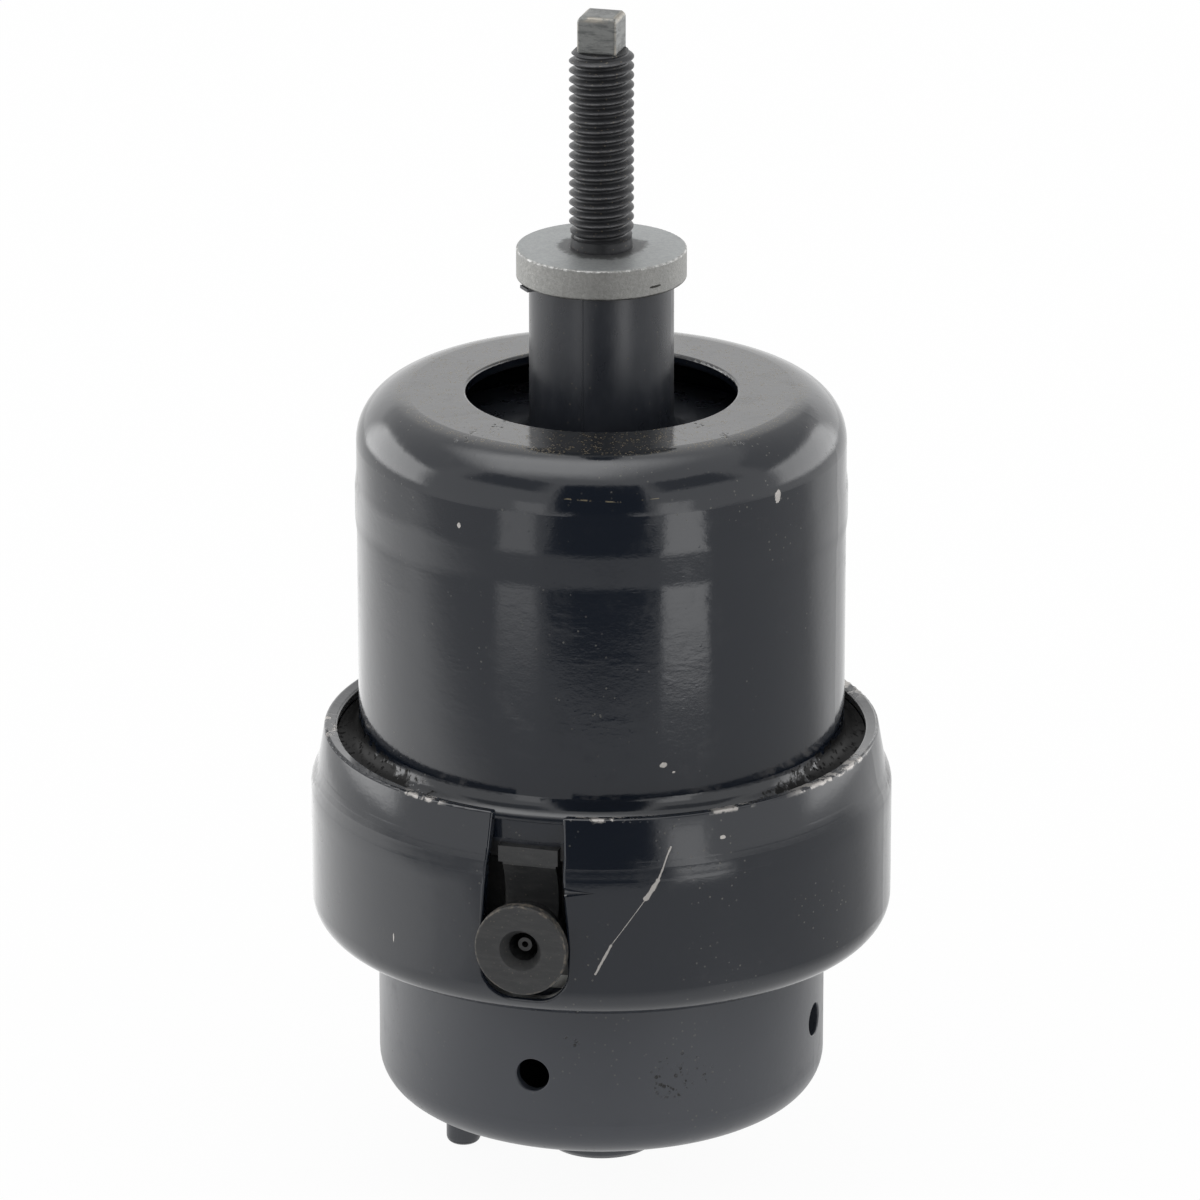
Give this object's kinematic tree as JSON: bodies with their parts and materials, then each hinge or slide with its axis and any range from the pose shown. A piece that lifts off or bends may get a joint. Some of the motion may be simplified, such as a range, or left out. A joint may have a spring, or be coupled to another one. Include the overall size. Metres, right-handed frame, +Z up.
{
  "type": "hydraulic engine mount",
  "caption": "Fluid-filled engine mount: threaded stud with square end on a rubber-bonded core, black drawn cup clamped by a slotted housing with a side air port, vented lower can.",
  "frame": {"origin": "centre of the base boss's lower face, on the mount's axis", "axes": "+Z up along the mount's axis towards the stud; the locating pin lies on -X; the air port faces -Y, turned 2.5 degrees about +Z"},
  "size_m": [0.0912, 0.0934, 0.1893],
  "materials": {
    "black_enamel": "glossy black dip enamel with fine orange peel, chips and scratches",
    "satin_enamel": "satin bluish-black enamel",
    "dark_steel": "black phosphated steel, worn bright on edges",
    "bare_alloy": "bare cast alloy, matte, turned faces",
    "zinc_steel": "plain zinc-plated pressed steel",
    "spring_steel": "oiled spring steel",
    "black_rubber": "satin moulded black rubber",
    "grey_plastic": "matte dark grey glass-filled plastic"
  },
  "bodies": {
    "root": {"mounting_stud": "dark_steel", "core": "bare_alloy", "fill_ball": "spring_steel", "main_rubber": "black_rubber", "bonded_ring": "black_enamel", "upper_cup": "black_enamel", "clamp_housing": "black_enamel", "lower_can": "satin_enamel", "base_boss": "satin_enamel", "locating_pin": "satin_enamel", "lower_diaphragm": "black_rubber", "diaphragm_ring": "zinc_steel", "track_body": "grey_plastic", "track_cover": "zinc_steel", "chamber_gasket": "black_rubber", "port_nipple": "grey_plastic", "switching_membrane": "black_rubber", "membrane_clamp": "zinc_steel", "spring_seat": "grey_plastic", "return_spring": "spring_steel"}
  },
  "joints": []
}
